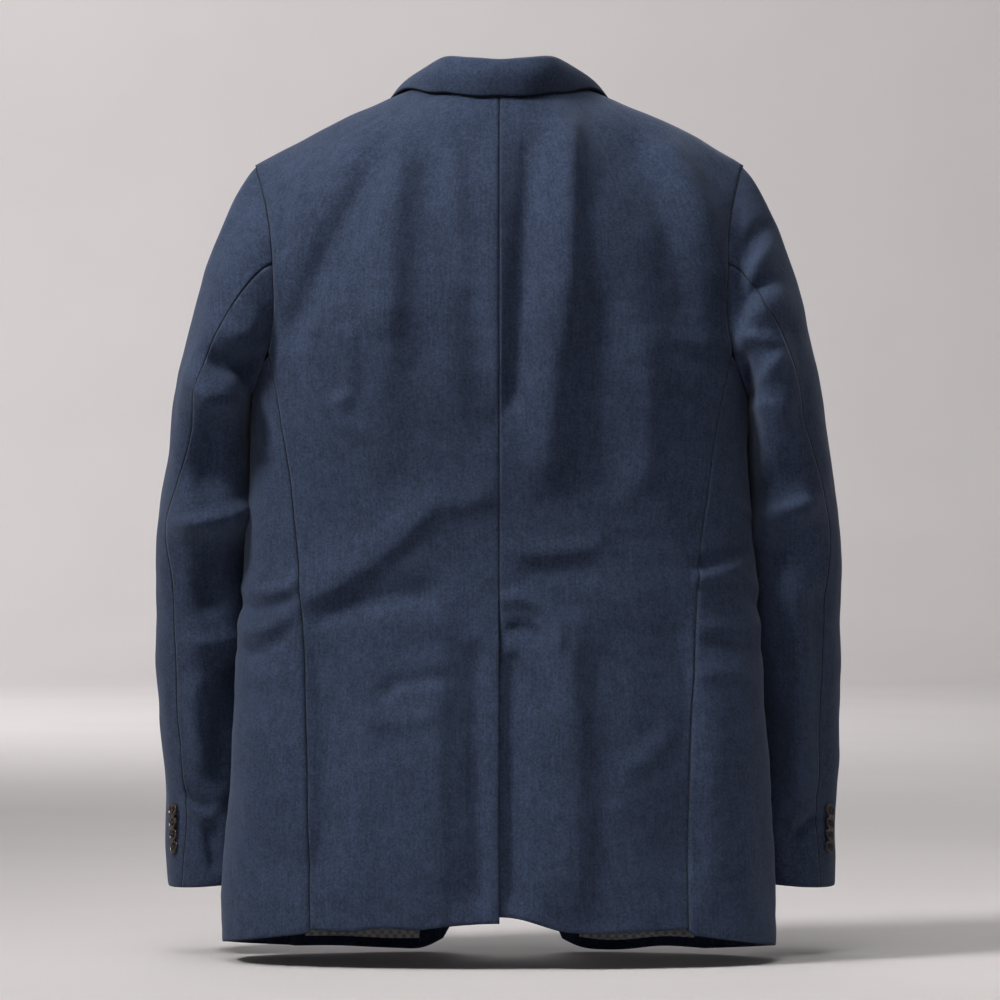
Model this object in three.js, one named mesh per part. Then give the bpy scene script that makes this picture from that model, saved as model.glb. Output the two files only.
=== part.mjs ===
import * as THREE from 'three';

// Navy needlecord blazer, filled out as worn, with nobody inside. Millimetres, +Z up.
// The front faces -Y and the wearer's left is +X. The origin lies between the neck points.

// Driving dimensions
const bodyCloth = 2;
const sleeveCloth = 1.6;
const liningCloth = 1;
const seamGap = 0.4;
const layerGap = 0.6;
const roundness = 2.3;
const neckHalf = 64;
const shoulderHalf = 220;
const shoulderRoll = 100;
const bodyLength = 690;
const buttonTop = -395;
const buttonSpacing = 100;
const vent = { top: -517, full: -560, underlap: 35, standOff: 0.8, near: 3, far: 32 };
const armhole = { middle: -164, reach: 104, backSeam: 127, frontSeam: 130 };
const sleeveCap = { end: -290, rows: 0.34, clearance: 0.9 };
const cuffButton = { radius: 7, thickness: 2.6, tilt: 17, angle: 39, first: -638, spacing: 11 };
const frontButton = { radius: 10, thickness: 3.4 };

// Colours, read from the photograph
const navy = 0x2e3547;
const horn = 0x2b2321;
const liningGrey = 0xb4b6ba;

// The torso's level sections: half width, and depth behind and before the shoulder line
const torsoRows = [
  { z: 20, half: 222, back: 54, front: 66 },
  { z: 0, half: 222, back: 63, front: 74 },
  { z: -40, half: 222, back: 84, front: 87 },
  { z: -80, half: 223, back: 100, front: 98 },
  { z: -130, half: 224, back: 112, front: 108 },
  { z: -190, half: 223.5, back: 117, front: 115 },
  { z: -250, half: 222, back: 113, front: 118 },
  { z: -330, half: 223, back: 102, front: 114 },
  { z: -400, half: 227, back: 94, front: 108 },
  { z: -480, half: 234, back: 98, front: 106 },
  { z: -560, half: 239, back: 107, front: 106 },
  { z: -650, half: 243.5, back: 112, front: 104 },
  { z: -770, half: 248, back: 115, front: 102 },
];

// The ridge over the shoulder, and how far below it the roll to the back or front ends
const ridgeRows = [
  { x: 0, z: 38, roll: 40 },
  { x: 45, z: 24, roll: 55 },
  { x: 64, z: 16.5, roll: 75 },
  { x: 107, z: -2.5, roll: 98 },
  { x: 152, z: -23, roll: 100 },
  { x: 197, z: -47, roll: 100 },
  { x: 220, z: -60, roll: 100 },
];

// The armhole, by clock angle from the shoulder tip: ring angle behind and before
const armholeRows = [
  { clock: 0, back: 11.7, front: 11.7 },
  { clock: 30, back: 17.5, front: 20 },
  { clock: 60, back: 25.5, front: 30.5 },
  { clock: 90, back: 28, front: 34.5 },
  { clock: 120, back: 25.5, front: 31 },
  { clock: 150, back: 14.5, front: 18 },
  { clock: 180, back: 0, front: 0 },
];

// Distance from the centre to the side panel's seams
const sideBackRows = [
  { z: -226, x: 206.2 },
  { z: -268, x: 197 },
  { z: -311, x: 189 },
  { z: -380, x: 180.5 },
  { z: -447, x: 175 },
  { z: -537, x: 172 },
  { z: -632, x: 169 },
  { z: -747, x: 166.5 },
];
const sideFrontRows = [
  { z: -231, x: 200.2 },
  { z: -280, x: 195 },
  { z: -340, x: 189 },
  { z: -400, x: 187 },
  { z: -480, x: 189 },
  { z: -560, x: 191 },
  { z: -770, x: 194 },
];

// Edges: back neck, roll line and front edge, and the hem on both sides
const neckSeamRows = [
  { x: 0, z: 1 },
  { x: 26, z: 4 },
  { x: 48, z: 10 },
  { x: 64, z: 16.5 },
];
const frontEdgeRows = [
  { z: 16.5, left: 64, right: 64 },
  { z: -45, left: 56, right: 56 },
  { z: -150, left: 36, right: 36 },
  { z: -250, left: 15, right: 15 },
  { z: -340, left: -5, right: -5 },
  { z: -395, left: -20, right: -20 },
  { z: -495, left: -20, right: -20 },
  { z: -560, left: -10, right: -6 },
  { z: -640, left: 9, right: 17 },
  { z: -720, left: 33, right: 42 },
  { z: -757, left: 52, right: 58 },
];
const backHemRows = [
  { x: -35, left: -728.5, right: -723.6 },
  { x: 0, left: -728.5, right: -723.6 },
  { x: 19, left: -729, right: -724.5 },
  { x: 48, left: -731.5, right: -734 },
  { x: 75, left: -734.5, right: -737.5 },
  { x: 105, left: -733, right: -737.5 },
  { x: 135, left: -736.5, right: -736 },
  { x: 170, left: -735, right: -735.5 },
];
const sideHemRows = [
  { ring: -45, left: -762, right: -765 },
  { ring: 0, left: -752.5, right: -756 },
  { ring: 25, left: -747, right: -750 },
  { ring: 60, left: -735, right: -735.5 },
];
const frontHemRows = [
  { x: 50, left: -756, right: -752 },
  { x: 60, left: -763, right: -759 },
  { x: 78, left: -766.5, right: -766 },
  { x: 110, left: -765.5, right: -767.5 },
  { x: 150, left: -763, right: -763.5 },
  { x: 196, left: -762, right: -765 },
];

// How far the left front stands off the torso at its edge, to lap over the right one
const lapRows = [
  { z: -230, lift: 0 },
  { z: -310, lift: 6.4 },
  { z: -405, lift: 6.4 },
  { z: -440, lift: 3.4 },
  { z: -600, lift: 3.4 },
  { z: -680, lift: 0 },
];

// Sleeve sections: centre, half width and half depth, and the hindarm seam's angle
const sleeveRows = [
  { z: -290, x: 259.5, y: -9, half: 34.5, deep: 73, hind: 67 },
  { z: -350, x: 263.5, y: -27, half: 40, deep: 69, hind: 47 },
  { z: -378, x: 265.5, y: -33, half: 41, deep: 67, hind: 41 },
  { z: -412, x: 267.5, y: -40, half: 41.5, deep: 65, hind: 50 },
  { z: -535, x: 267, y: -66, half: 41, deep: 58, hind: 57 },
  { z: -640, x: 262.5, y: -80, half: 40.5, deep: 53, hind: 59 },
  { z: -715, x: 259.5, y: -89, half: 40.5, deep: 50, hind: 48 },
];
const sleeveShiftRows = [
  { z: -290, left: 0, right: -1 },
  { z: -400, left: 0, right: -1 },
  { z: -535, left: 0, right: 0.5 },
  { z: -590, left: 0, right: 2.5 },
  { z: -715, left: 0, right: 4 },
];

// The collar from the centre back to the gorge: neck seam, fold, and the fall's edge,
// which lies on the torso at an angle over the shoulder's roll, 0 at the ridge
const collarColumns = ['along', 'seamX', 'seamY', 'seamZ', 'foldX',
  'foldY', 'foldZ', 'edgeX', 'edgeRoll'];
const collarRows = [
  [0, 0, 58, 3, 0, 64, 33, 0, 90],
  [0.14, 26, 51, 6.5, 27, 59, 35, 25, 72.5],
  [0.28, 47, 33, 13, 46, 44, 37, 46, 54],
  [0.4, 57, 13, 18.5, 56, 21, 34.5, 66, 33],
  [0.5, 60.5, -2, 20, 60, 2, 30, 80, 14],
  [0.57, 61, -12, 18, 62, -12, 26, 89, 0],
  [0.66, 61, -25, 14, 63, -27, 20, 97, -13.5],
  [0.8, 60, -45, 3, 63, -50, 8, 106, -25],
  [0.9, 57.3, -67, -17, 61, -73, -13, 114, -40],
  [1, 54.2, -85, -42, 57.5, -91, -41, 121, -61],
].map((row) => Object.fromEntries(collarColumns.map((name, index) => [name, row[index]])));
const gorge = { rollZ: -44, notchX: 101, notchZ: -79, tipX: 128, tipZ: -98 };

// Large folds of the back: from one end to the other, with the height of the crest
const backFoldRows = [
  { fromX: -13, fromZ: -40, toX: -12, toZ: -180, width: 13, height: -2.2 },
  { fromX: -58, fromZ: -45, toX: -42, toZ: -320, width: 17, height: 4 },
  { fromX: -102, fromZ: -60, toX: -96, toZ: -230, width: 20, height: -2.6 },
  { fromX: 70, fromZ: -60, toX: 66, toZ: -230, width: 15, height: -2.6 },
  { fromX: 40, fromZ: -70, toX: 34, toZ: -270, width: 15, height: 1.8 },
  { fromX: 118, fromZ: -100, toX: 92, toZ: -250, width: 17, height: 2.6 },
  { fromX: 170, fromZ: -120, toX: 178, toZ: -200, width: 18, height: -3.4 },
  { fromX: -150, fromZ: -90, toX: -178, toZ: -200, width: 18, height: -2.2 },
  { fromX: 140, fromZ: -408, toX: 30, toZ: -370, width: 17, height: 2.4 },
  { fromX: 128, fromZ: -448, toX: 46, toZ: -428, width: 15, height: -2.4 },
  { fromX: -90, fromZ: -500, toX: -84, toZ: -690, width: 22, height: -3 },
  { fromX: -34, fromZ: -530, toX: -36, toZ: -700, width: 13, height: 2.6 },
  { fromX: 34, fromZ: -480, toX: 28, toZ: -575, width: 12, height: -2.4 },
  { fromX: 150, fromZ: -590, toX: 110, toZ: -520, width: 20, height: 2 },
];

// Large folds of the sleeves, by ring angle from the outside towards the back, and height
const sleeveFoldRows = [
  { fromTurn: 95, fromZ: -225, toTurn: 150, toZ: -262, width: 16, height: -5 },
  { fromTurn: 60, fromZ: -262, toTurn: 120, toZ: -285, width: 13, height: 3.5 },
  { fromTurn: 75, fromZ: -310, toTurn: 130, toZ: -345, width: 22, height: -5 },
  { fromTurn: 60, fromZ: -376, toTurn: 115, toZ: -362, width: 13, height: 4 },
  { fromTurn: 85, fromZ: -400, toTurn: 130, toZ: -418, width: 16, height: -3.5 },
  { fromTurn: 62, fromZ: -440, toTurn: 105, toZ: -485, width: 16, height: -3 },
  { fromTurn: 45, fromZ: -628, toTurn: 85, toZ: -640, width: 11, height: -2 },
  { fromTurn: -60, fromZ: -330, toTurn: -120, toZ: -360, width: 18, height: -4 },
  { fromTurn: -50, fromZ: -395, toTurn: -120, toZ: -405, width: 14, height: 3 },
];

// Curve through a table's rows, read from one named column to another
function curve(rows, input, output) {
  const knots = rows.map((row) => [row[input], row[output]]).sort((a, b) => a[0] - b[0]);
  const last = knots.length - 1;
  const slope = (index) => {
    const before = knots[Math.max(index - 1, 0)];
    const after = knots[Math.min(index + 1, last)];
    return (after[1] - before[1]) / (after[0] - before[0]);
  };
  return (value) => {
    const at = THREE.MathUtils.clamp(value, knots[0][0], knots[last][0]);
    let index = 0;
    while (index < last - 1 && knots[index + 1][0] < at) index += 1;
    const [start, low] = knots[index];
    const [end, high] = knots[index + 1];
    const span = end - start;
    const t = (at - start) / span;
    const rise = t * t * (3 - 2 * t);
    const leave = t * (1 - t) ** 2 * span * slope(index);
    const arrive = t * t * (t - 1) * span * slope(index + 1);
    return low + (high - low) * rise + leave + arrive;
  };
}

const { clamp, degToRad, lerp: mix, smoothstep } = THREE.MathUtils;
const halfWidth = curve(torsoRows, 'z', 'half');
const backDepth = curve(torsoRows, 'z', 'back');
const frontDepth = curve(torsoRows, 'z', 'front');
const ridgeHeight = curve(ridgeRows, 'x', 'z');
const ridgeRoll = curve(ridgeRows, 'x', 'roll');
const sideBackSeam = curve(sideBackRows, 'z', 'x');
const sideFrontSeam = curve(sideFrontRows, 'z', 'x');
const neckSeam = curve(neckSeamRows, 'x', 'z');
const lapLift = curve(lapRows, 'z', 'lift');

// How much a fold raises the cloth at a place, with both given in millimetres
function foldHeight(place, from, to, width, height) {
  const run = to.clone().sub(from);
  const along = clamp(place.clone().sub(from).dot(run) / run.lengthSq(), 0, 1);
  const away = place.distanceTo(from.addScaledVector(run, along));
  return height * Math.exp(-((away / width) ** 2));
}

function backFolds(x, z) {
  return backFoldRows.reduce((sum, fold) => {
    const from = new THREE.Vector2(fold.fromX, fold.fromZ);
    const to = new THREE.Vector2(fold.toX, fold.toZ);
    return sum + foldHeight(new THREE.Vector2(x, z), from, to, fold.width, fold.height);
  }, 0);
}

// A place on the torso behind (facing 1) or before (facing -1) the shoulder ridge
function torsoPoint(x, z, facing) {
  const across = Math.min(Math.abs(x) / halfWidth(z), 1);
  const fullness = (1 - across ** roundness) ** (1 / roundness);
  const depth = facing > 0 ? backDepth(z) + backFolds(x, z) : frontDepth(z);
  const drop = clamp((ridgeHeight(Math.abs(x)) - z) / ridgeRoll(Math.abs(x)), 0, 1);
  const swell = Math.sqrt(1 - (1 - drop) ** 2);
  return new THREE.Vector3(x, facing * (seamGap / 2 + depth * fullness * swell), z);
}

// The same torso by ring angle, from 0 at the side to 90 at the centre back
function ringPoint(side, turn, z) {
  const angle = degToRad(turn);
  const x = halfWidth(z) * Math.cos(angle) ** (2 / roundness);
  const folds = turn > 0 ? backFolds(side * x, z) : 0;
  const depth = turn > 0 ? backDepth(z) + folds : frontDepth(z);
  const y = Math.sign(turn) * depth * Math.abs(Math.sin(angle)) ** (2 / roundness);
  return new THREE.Vector3(side * x, y, z);
}

function ringTurn(x, z) {
  return THREE.MathUtils.radToDeg(Math.acos((x / halfWidth(z)) ** (roundness / 2)));
}

// The armhole: height at a clock angle, and distance from the centre at a height
function armholeHeight(clock) {
  return armhole.middle + armhole.reach * Math.cos(degToRad(clock));
}

function armholeTurn(clock) {
  if (clock <= 180) return curve(armholeRows, 'clock', 'back')(clock);
  return -curve(armholeRows, 'clock', 'front')(360 - clock);
}

function armholeSide(z, facing) {
  const level = clamp((z - armhole.middle) / armhole.reach, -1, 1);
  const clock = THREE.MathUtils.radToDeg(Math.acos(level));
  const turn = armholeTurn(facing > 0 ? clock : 360 - clock);
  return Math.min(ringPoint(1, turn, z).x, shoulderHalf);
}

function armholePoint(side, clock) {
  const facing = clock <= 180 ? 1 : -1;
  const z = armholeHeight(clock);
  const belowShoulder = Math.cos(degToRad(clock)) < -0.17;
  if (belowShoulder) return ringPoint(side, armholeTurn(clock), z);
  return torsoPoint(side * armholeSide(z, facing), z, facing);
}

// A sheet of cloth: a grid of outer points, a second one inside it, and rims between them
function clothWall(name, material, shape) {
  const { pointAt, columns, rows, thickness, heart } = shape;
  const step = 1e-3;
  const slopeAt = (u, v, du, dv) => {
    const ahead = pointAt(clamp(u + du, 0, 1), clamp(v + dv, 0, 1));
    return ahead.sub(pointAt(clamp(u - du, 0, 1), clamp(v - dv, 0, 1)));
  };
  const normalAt = (u, v) => slopeAt(u, v, step, 0).cross(slopeAt(u, v, 0, step)).normalize();
  const outwards = Math.sign(normalAt(0.5, 0.5).dot(pointAt(0.5, 0.5).sub(heart)));
  const positions = [];
  for (const depth of [0, thickness]) {
    for (let row = 0; row <= rows; row += 1) {
      for (let column = 0; column <= columns; column += 1) {
        const u = column / columns;
        const v = row / rows;
        const place = pointAt(u, v).addScaledVector(normalAt(u, v), -outwards * depth);
        positions.push(place.x, place.y, place.z);
      }
    }
  }
  const layer = (columns + 1) * (rows + 1);
  const spot = (column, row) => row * (columns + 1) + column;
  const triangles = [];
  const quad = (a, b, c, d) => {
    const ordered = outwards > 0 ? [a, b, c, a, c, d] : [a, c, b, a, d, c];
    triangles.push(...ordered);
  };
  for (let row = 0; row < rows; row += 1) {
    for (let column = 0; column < columns; column += 1) {
      const a = spot(column, row);
      const b = spot(column + 1, row);
      const c = spot(column + 1, row + 1);
      const d = spot(column, row + 1);
      quad(a, b, c, d);
      quad(a + layer, d + layer, c + layer, b + layer);
    }
  }
  for (let column = 0; column < columns; column += 1) {
    const top = spot(column, 0);
    const bottom = spot(column, rows);
    quad(top + 1, top, top + layer, top + 1 + layer);
    quad(bottom, bottom + 1, bottom + 1 + layer, bottom + layer);
  }
  for (let row = 0; row < rows; row += 1) {
    const near = spot(0, row);
    const far = spot(columns, row);
    const next = columns + 1;
    quad(near, near + next, near + next + layer, near + layer);
    quad(far + next, far, far + layer, far + next + layer);
  }
  const geometry = new THREE.BufferGeometry();
  geometry.setAttribute('position', new THREE.Float32BufferAttribute(positions, 3));
  geometry.setIndex(triangles);
  geometry.computeVertexNormals();
  const mesh = new THREE.Mesh(geometry, material);
  mesh.name = name;
  return mesh;
}

function clothMaterial(color, roughness) {
  return new THREE.MeshStandardMaterial({ color, roughness, metalness: 0, side: THREE.DoubleSide });
}

// Share of the fall from the shoulder to the hem, with close rows over the shoulder
function fallShare(v) {
  const rollRows = 0.2;
  const rollShare = shoulderRoll / bodyLength;
  if (v < rollRows) return rollShare * (1 - Math.cos((v / rollRows) * Math.PI / 2));
  return rollShare + ((1 - rollShare) * (v - rollRows)) / (1 - rollRows);
}

// A panel that hangs from a top edge to a hem, between an inner and an outer edge
function hangingPanel(panel) {
  const { topX, innerX, outerX, topZ, hemZ, surface } = panel;
  const topInner = innerX(topZ(topX));
  const topOuter = outerX(ridgeHeight(shoulderHalf));
  return (u, v) => {
    const fall = fallShare(v);
    const zAt = (share) => mix(topZ(mix(topInner, topOuter, share)), hemZ(share), fall);
    const x = mix(innerX(zAt(0)), outerX(zAt(1)), u);
    return surface(x, zAt(u));
  };
}

function backPanel(sideName, side) {
  const hemCurve = curve(backHemRows, 'x', sideName);
  const innerX = (z) => {
    if (side > 0) return seamGap / 2;
    return mix(seamGap / 2, -vent.underlap, smoothstep(vent.top - z, 0, vent.top - vent.full));
  };
  const outerX = (z) => {
    const seam = z > armholeHeight(armhole.backSeam) ? armholeSide(z, 1) : sideBackSeam(z);
    return seam - seamGap / 2;
  };
  const surface = (x, z) => {
    const place = torsoPoint(side * x, z, 1);
    const near = 1 - smoothstep(x, vent.near, vent.far);
    const low = 1 - smoothstep(z, vent.top + 20, vent.top + 70);
    place.y += near * low * (side > 0 ? vent.standOff : -bodyCloth - layerGap);
    return place;
  };
  const hemZ = (share) => hemCurve(mix(innerX(vent.full), outerX(-bodyLength), share));
  const topZ = (x) => (x < neckHalf ? neckSeam(x) : ridgeHeight(x));
  return hangingPanel({ topX: 0, innerX, outerX, topZ, hemZ, surface });
}

function sidePanel(sideName, side) {
  const hemCurve = curve(sideHemRows, 'ring', sideName);
  const hemTurn = { behind: 50, before: -40 };
  const straightFrom = 0.12;
  const clockAt = (u) => mix(armhole.backSeam, 360 - armhole.frontSeam, u);
  const levelAt = (u, v) => {
    return mix(armholeHeight(clockAt(u)), hemCurve(mix(hemTurn.behind, hemTurn.before, u)), v);
  };
  return (u, v) => {
    const behind = ringTurn(sideBackSeam(levelAt(0, v)) + seamGap / 2, levelAt(0, v));
    const before = -ringTurn(sideFrontSeam(levelAt(1, v)) + seamGap / 2, levelAt(1, v));
    const rimTurn = armholeTurn(clockAt(u));
    const turn = mix(rimTurn, mix(behind, before, u), smoothstep(v, 0, straightFrom));
    return ringPoint(side, turn, levelAt(u, v) - seamGap / 2);
  };
}

// A place on a front, where the left one stands off to lap over the right one
function frontPoint(side, x, z) {
  const place = torsoPoint(side * x, z, -1);
  const lapReach = { full: 25, none: 75 };
  const near = 1 - smoothstep(x, lapReach.full, lapReach.none);
  if (side > 0) place.y -= near * lapLift(z);
  return place;
}

function frontPanel(sideName, side) {
  const hemCurve = curve(frontHemRows, 'x', sideName);
  const innerX = curve(frontEdgeRows, 'z', sideName);
  const outerX = (z) => {
    const seam = z > armholeHeight(armhole.frontSeam) ? armholeSide(z, -1) : sideFrontSeam(z);
    return seam - seamGap / 2;
  };
  const hemX = { inner: innerX(-757), outer: outerX(-765) };
  const hemZ = (share) => hemCurve(mix(hemX.inner, hemX.outer, share));
  const surface = (x, z) => frontPoint(side, x, z);
  return hangingPanel({ topX: neckHalf, innerX, outerX, topZ: ridgeHeight, hemZ, surface });
}

// A place on the torso by its angle over the shoulder's roll, moved out from the torso
function offShoulder(side, x, roll, distance) {
  const at = (px, angle) => {
    const drop = ridgeRoll(px) * (1 - Math.cos(degToRad(angle)));
    return torsoPoint(side * px, ridgeHeight(px) - drop, angle < 0 ? -1 : 1);
  };
  const across = at(x + 1, roll).sub(at(x - 1, roll));
  const over = at(x, roll + 1).sub(at(x, roll - 1));
  const away = across.cross(over).multiplyScalar(side).normalize();
  return at(x, roll).addScaledVector(away, distance);
}

// Moves a place that lies on a front outwards from it
function offFront(side, x, z, distance) {
  const reach = 1;
  const place = frontPoint(side, x, z);
  const across = frontPoint(side, x + reach, z).sub(place);
  const down = frontPoint(side, x, z - reach).sub(place);
  const away = across.cross(down).normalize();
  return place.addScaledVector(away, -Math.sign(away.y) * distance);
}

function lapelPanel(sideName, side) {
  const rollX = curve(frontEdgeRows, 'z', sideName);
  const lowest = { z: buttonTop + 8, edge: -13 };
  const shape = { gorgeGap: 1.5, edgeBow: 9, rollGap: 0.5, belly: 16 };
  return (u, v) => {
    const rollZ = mix(gorge.rollZ - shape.gorgeGap, lowest.z, v);
    const edgeX = mix(gorge.tipX, lowest.edge, v) + shape.edgeBow * Math.sin(Math.PI * v);
    const edgeZ = mix(gorge.tipZ - shape.gorgeGap, lowest.z - 2, v);
    const x = mix(rollX(rollZ) + shape.rollGap, edgeX, u);
    const z = mix(rollZ, edgeZ, u);
    const belly = shape.belly * u * (1 - u) ** 2 * Math.sqrt(1 - v);
    return offFront(side, x, z, bodyCloth + layerGap + belly);
  };
}

// The collar, from its neck seam up over the fold and down to the fall's edge
function collarPanel() {
  const column = (name) => curve(collarRows, 'along', name);
  const read = (names) => names.map(column);
  const [seamX, seamY, seamZ] = read(['seamX', 'seamY', 'seamZ']);
  const [foldX, foldY, foldZ] = read(['foldX', 'foldY', 'foldZ']);
  const [edgeX, edgeRoll] = read(['edgeX', 'edgeRoll']);
  const stand = 0.3;
  const bend = 0.66;
  const belly = { back: 5, front: 2.5, lift: 0.6 };
  const seat = bodyCloth + layerGap + 0.8;
  return (u, v) => {
    const side = u < 0.5 ? 1 : -1;
    const along = Math.abs(1 - 2 * u);
    const seam = new THREE.Vector3(side * seamX(along), seamY(along), seamZ(along));
    const fold = new THREE.Vector3(side * foldX(along), foldY(along), foldZ(along));
    if (v < stand) {
      const rise = v / stand;
      const lean = Math.sin(rise * Math.PI / 2);
      return new THREE.Vector3(
        mix(seam.x, fold.x, rise ** 2), mix(seam.y, fold.y, rise ** 2), mix(seam.z, fold.z, lean));
    }
    const fall = (v - stand) / (1 - stand);
    const edge = offShoulder(side, edgeX(along), edgeRoll(along), seat);
    const notch = offFront(side, gorge.notchX, gorge.notchZ + 1, seat);
    const straight = fold.clone().lerp(edge, fall);
    const viaNotch = fall < bend
      ? fold.clone().lerp(notch, fall / bend)
      : notch.clone().lerp(edge, (fall - bend) / (1 - bend));
    const place = straight.lerp(viaNotch, smoothstep(along, 0.8, 1));
    const fullness = mix(belly.back, belly.front, smoothstep(along, 0.75, 1));
    const bulge = Math.sin(Math.PI * fall) * fullness;
    const level = Math.hypot(place.x, place.y);
    place.x += (bulge * place.x) / level;
    place.y += (bulge * place.y) / level;
    place.z += bulge * belly.lift;
    return place;
  };
}

// Sleeves: a ring at each height below the cap, and a cap that starts at the armhole
function sleeveShape(sideName, side) {
  const read = (name) => curve(sleeveRows, 'z', name);
  const [centreX, centreY, half, deep] = [read('x'), read('y'), read('half'), read('deep')];
  const hind = read('hind');
  const shift = curve(sleeveShiftRows, 'z', sideName);
  const cuffLevel = -704;
  const hindTop = 82;
  const rightFolds = 0.8;
  const cuffZ = (turn) => cuffLevel - 4 * Math.cos(degToRad(turn - 30));

  const foldsAt = (turn, z) => sleeveFoldRows.reduce((sum, fold) => {
    const perDegree = (half(z) + deep(z)) * Math.PI / 360;
    const spin = THREE.MathUtils.euclideanModulo(turn - fold.fromTurn + 180, 360) - 180;
    const place = new THREE.Vector2(spin * perDegree, z);
    const from = new THREE.Vector2(0, fold.fromZ);
    const to = new THREE.Vector2((fold.toTurn - fold.fromTurn) * perDegree, fold.toZ);
    const height = side > 0 ? fold.height : fold.height * rightFolds;
    return sum + foldHeight(place, from, to, fold.width, height);
  }, 0);

  const onRing = (turn, z) => {
    const angle = degToRad(turn);
    const out = new THREE.Vector2(Math.cos(angle) / half(z), Math.sin(angle) / deep(z)).normalize();
    const raise = foldsAt(turn, z);
    const x = centreX(z) + shift(z) + half(z) * Math.cos(angle) + out.x * raise;
    const y = centreY(z) + deep(z) * Math.sin(angle) + out.y * raise;
    return new THREE.Vector3(side * x, y, z);
  };

  // Off the armhole the cap swells sideways first, most of all at its top, then turns down
  const onCap = (turn, t) => {
    const start = armholePoint(side, THREE.MathUtils.euclideanModulo(turn, 360));
    const end = onRing(turn, sleeveCap.end);
    const below = onRing(turn, sleeveCap.end - 2);
    const angle = degToRad(turn);
    const high = (1 + Math.cos(angle)) / 2;
    const flank = Math.abs(Math.sin(angle));
    const outwards = 0.75 - 0.06 * high;
    const downwards = 0.45 + 0.24 * high + 0.1 * flank;
    const leave = new THREE.Vector3(side * outwards, 0.3 * Math.sin(angle), -downwards).normalize();
    start.addScaledVector(leave, sleeveCap.clearance);
    const reach = start.distanceTo(end);
    const swell = mix(0.95, 0.62, high);
    const arrive = below.sub(end).normalize();
    const rise = t * t * (3 - 2 * t);
    const place = start.clone().lerp(end, rise);
    place.addScaledVector(leave, t * (1 - t) ** 2 * reach * swell);
    place.addScaledVector(arrive, t * t * (t - 1) * reach);
    return place;
  };

  return {
    onSleeve(turn, v) {
      if (v < sleeveCap.rows) return onCap(turn, (v / sleeveCap.rows) ** 1.3);
      const below = (v - sleeveCap.rows) / (1 - sleeveCap.rows);
      return onRing(turn, mix(sleeveCap.end, cuffZ(turn), below));
    },
    onRing,
    hindTurn(v) {
      if (v < sleeveCap.rows) return mix(hindTop, hind(sleeveCap.end), v / sleeveCap.rows);
      return hind(mix(sleeveCap.end, cuffLevel, (v - sleeveCap.rows) / (1 - sleeveCap.rows)));
    },
  };
}

// One of a sleeve's two panels, between its hindarm seam and its forearm seam
function sleevePanel(sleeve, isUpper) {
  const forearm = -128;
  const seamTurn = 0.35;
  return (u, v) => {
    const hindarm = sleeve.hindTurn(v);
    const turn = isUpper
      ? mix(hindarm - seamTurn, forearm + seamTurn, u)
      : mix(hindarm + seamTurn, 360 + forearm - seamTurn, u);
    return sleeve.onSleeve(turn, v);
  };
}

// The lining of a front, which shows as a pale strip above the hem
function liningPanel(sideName, side) {
  const hemCurve = curve(frontHemRows, 'x', sideName);
  const top = -610;
  const hemMargin = 9;
  const inner = 74;
  const outer = 178;
  return (u, v) => {
    const x = mix(inner, outer, u);
    const z = mix(top, hemCurve(x) + hemMargin, v);
    return offFront(side, x, z, -bodyCloth - layerGap);
  };
}

// A four-hole button, turned about its axis, with its back at the origin
function buttonMesh(name, size) {
  const { radius, thickness } = size;
  const rim = radius * 0.17;
  const dish = thickness * 0.3;
  const profile = [
    new THREE.Vector2(0, 0),
    new THREE.Vector2(radius * 0.8, 0),
    new THREE.Vector2(radius, thickness * 0.45),
    new THREE.Vector2(radius - rim * 0.6, thickness),
    new THREE.Vector2(radius - rim * 2, thickness - dish),
    new THREE.Vector2(0, thickness - dish),
  ];
  const geometry = new THREE.LatheGeometry(profile, 14);
  geometry.rotateX(Math.PI / 2);
  const material = new THREE.MeshStandardMaterial({ color: horn, roughness: 0.35, metalness: 0 });
  const mesh = new THREE.Mesh(geometry, material);
  mesh.name = name;
  return mesh;
}

// Turns a button to face away from the cloth and sets it down there
function seatButton(mesh, place, facing) {
  mesh.quaternion.setFromUnitVectors(new THREE.Vector3(0, 0, 1), facing);
  mesh.position.copy(place);
  return mesh;
}

function cuffButtons(sideName, side, sleeve) {
  const group = new THREE.Group();
  const { radius, tilt, angle, first, spacing } = cuffButton;
  for (let index = 0; index < 4; index += 1) {
    const z = first - index * spacing;
    const place = sleeve.onRing(angle, z);
    const aside = sleeve.onRing(angle + 1, z).sub(sleeve.onRing(angle - 1, z)).normalize();
    const down = sleeve.onRing(angle, z - 3).sub(sleeve.onRing(angle, z + 3)).normalize();
    const away = aside.clone().cross(down).multiplyScalar(side).normalize();
    if (away.x * side < 0) away.negate();
    const lean = Math.sin(degToRad(tilt));
    const facing = away.clone().addScaledVector(down, -lean).normalize();
    const lift = radius * lean - 0.15;
    const name = `cuff_button_${sideName}_${index + 1}`;
    group.add(seatButton(buttonMesh(name, cuffButton), place.addScaledVector(away, lift), facing));
  }
  return group;
}

function frontButtons() {
  const group = new THREE.Group();
  const belowBreak = 12;
  for (let index = 0; index < 2; index += 1) {
    const z = buttonTop - belowBreak - index * buttonSpacing;
    const place = offFront(1, 0, z, 0.5);
    const facing = offFront(1, 0, z, 1.5).sub(place).normalize();
    group.add(seatButton(buttonMesh(`front_button_${index + 1}`, frontButton), place, facing));
  }
  return group;
}

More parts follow.
